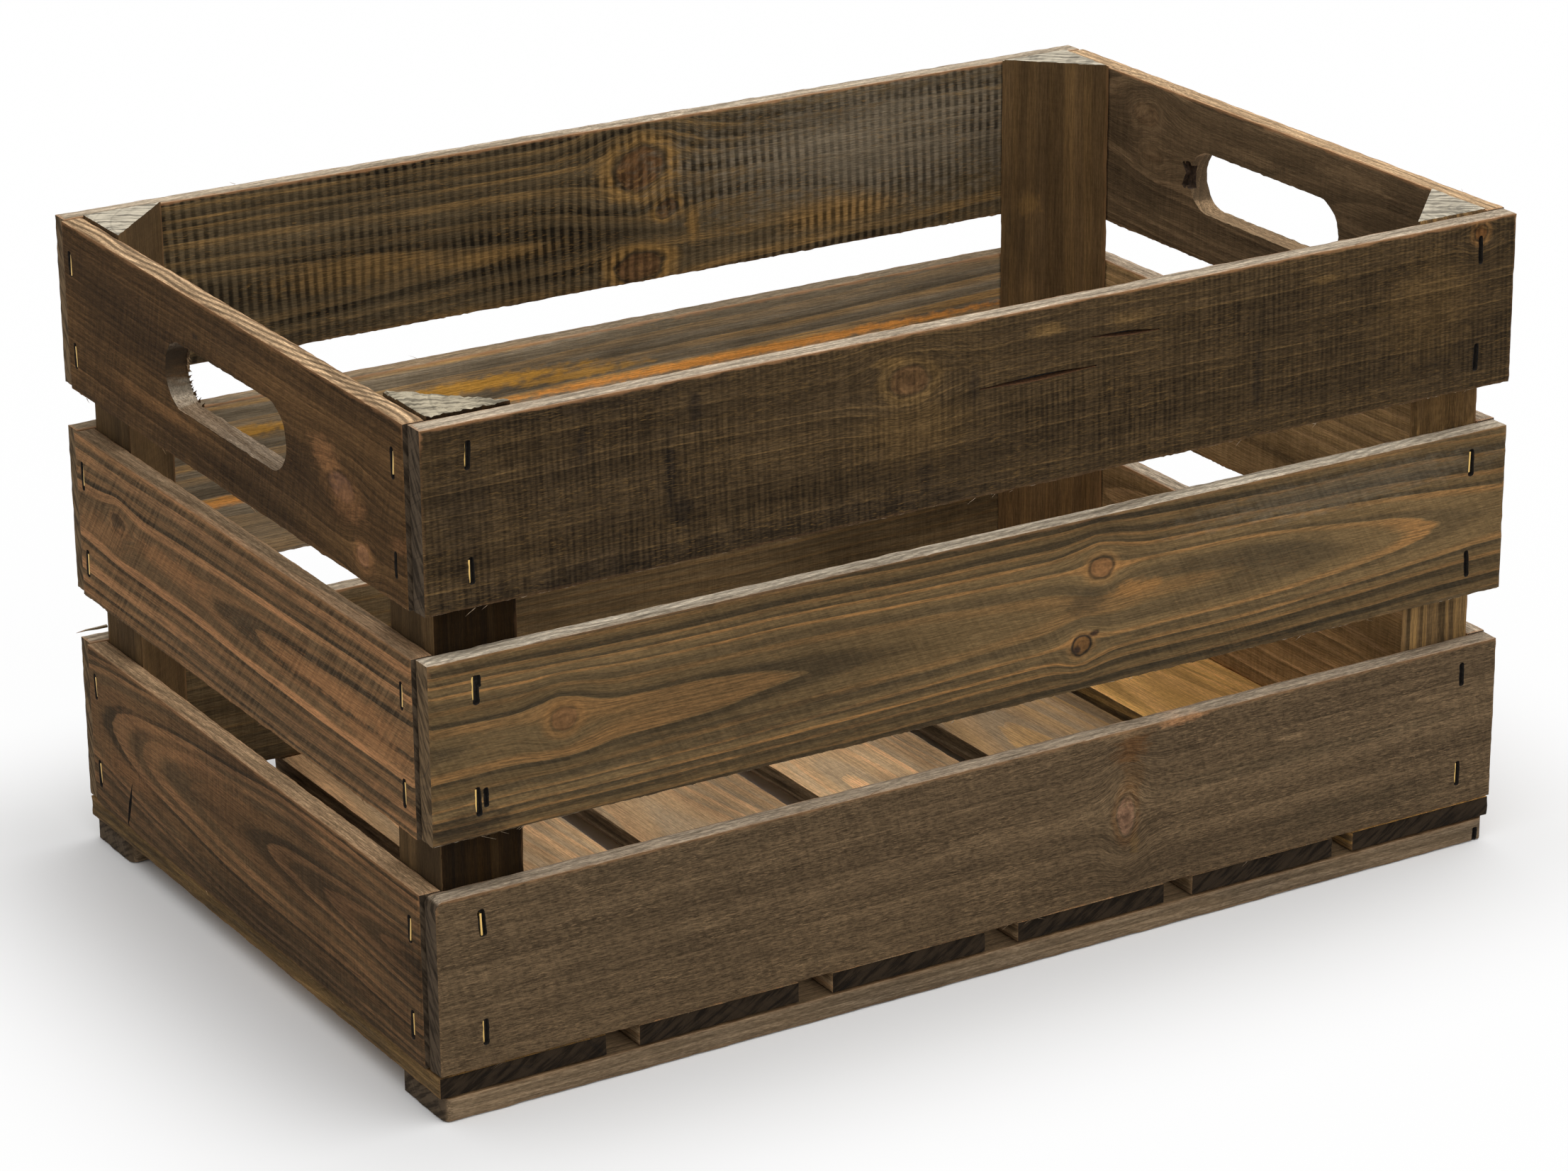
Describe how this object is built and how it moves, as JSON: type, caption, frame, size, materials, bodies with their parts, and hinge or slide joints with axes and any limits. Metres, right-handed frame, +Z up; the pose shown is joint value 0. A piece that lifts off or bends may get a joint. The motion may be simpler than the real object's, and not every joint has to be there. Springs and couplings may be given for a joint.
{
  "type": "wooden apple crate",
  "caption": "Open-topped slatted wooden crate with triangular corner posts, hand holes in the end walls and a boarded bottom on runners, for picking, carrying and storing fruit.",
  "frame": {"origin": "middle of the footprint, on the plane that the runners stand on", "axes": "+X along the crate's length, towards the right end wall; +Y from the front wall to the back wall; +Z up"},
  "size_m": [0.503, 0.32, 0.2769],
  "materials": {
    "side_slat_wood": "rough-sawn pine lath, dark grey-brown stain, matt",
    "end_slat_wood": "rough-sawn pine lath, dark reddish-brown stain, matt",
    "post_wood": "planed pine, brown stain, grey sawn ends, matt",
    "bottom_board_wood": "sawn pine lath, light orange-brown stain, matt",
    "runner_wood": "sawn pine batten, grey-olive stain, matt",
    "staple_wire": "golden lacquered staple wire"
  },
  "bodies": {
    "root": {"front_bottom_slat": "side_slat_wood", "front_middle_slat": "side_slat_wood", "front_top_slat": "side_slat_wood", "back_bottom_slat": "side_slat_wood", "back_middle_slat": "side_slat_wood", "back_top_slat": "side_slat_wood", "left_bottom_slat": "end_slat_wood", "left_middle_slat": "end_slat_wood", "left_top_slat": "end_slat_wood", "right_bottom_slat": "end_slat_wood", "right_middle_slat": "end_slat_wood", "right_top_slat": "end_slat_wood", "front_left_post": "post_wood", "front_right_post": "post_wood", "back_left_post": "post_wood", "back_right_post": "post_wood", "bottom_board_1": "bottom_board_wood", "bottom_board_2": "bottom_board_wood", "bottom_board_3": "bottom_board_wood", "bottom_board_4": "bottom_board_wood", "bottom_board_5": "bottom_board_wood", "bottom_board_6": "bottom_board_wood", "front_runner": "runner_wood", "back_runner": "runner_wood", "front_bottom_staple_left": "staple_wire", "front_bottom_staple_right": "staple_wire", "front_middle_staple_left": "staple_wire", "front_middle_staple_right": "staple_wire", "front_top_staple_left": "staple_wire", "front_top_staple_right": "staple_wire", "back_bottom_staple_left": "staple_wire", "back_bottom_staple_right": "staple_wire", "back_middle_staple_left": "staple_wire", "back_middle_staple_right": "staple_wire", "back_top_staple_left": "staple_wire", "back_top_staple_right": "staple_wire", "left_bottom_staple_front": "staple_wire", "left_bottom_staple_back": "staple_wire", "left_middle_staple_front": "staple_wire", "left_middle_staple_back": "staple_wire", "left_top_staple_front": "staple_wire", "left_top_staple_back": "staple_wire", "right_bottom_staple_front": "staple_wire", "right_bottom_staple_back": "staple_wire", "right_middle_staple_front": "staple_wire", "right_middle_staple_back": "staple_wire", "right_top_staple_front": "staple_wire", "right_top_staple_back": "staple_wire", "bottom_board_1_staple_front": "staple_wire", "bottom_board_1_staple_back": "staple_wire", "bottom_board_2_staple_front": "staple_wire", "bottom_board_2_staple_back": "staple_wire", "bottom_board_3_staple_front": "staple_wire", "bottom_board_3_staple_back": "staple_wire", "bottom_board_4_staple_front": "staple_wire", "bottom_board_4_staple_back": "staple_wire", "bottom_board_5_staple_front": "staple_wire", "bottom_board_5_staple_back": "staple_wire", "bottom_board_6_staple_front": "staple_wire", "bottom_board_6_staple_back": "staple_wire"}
  },
  "joints": []
}
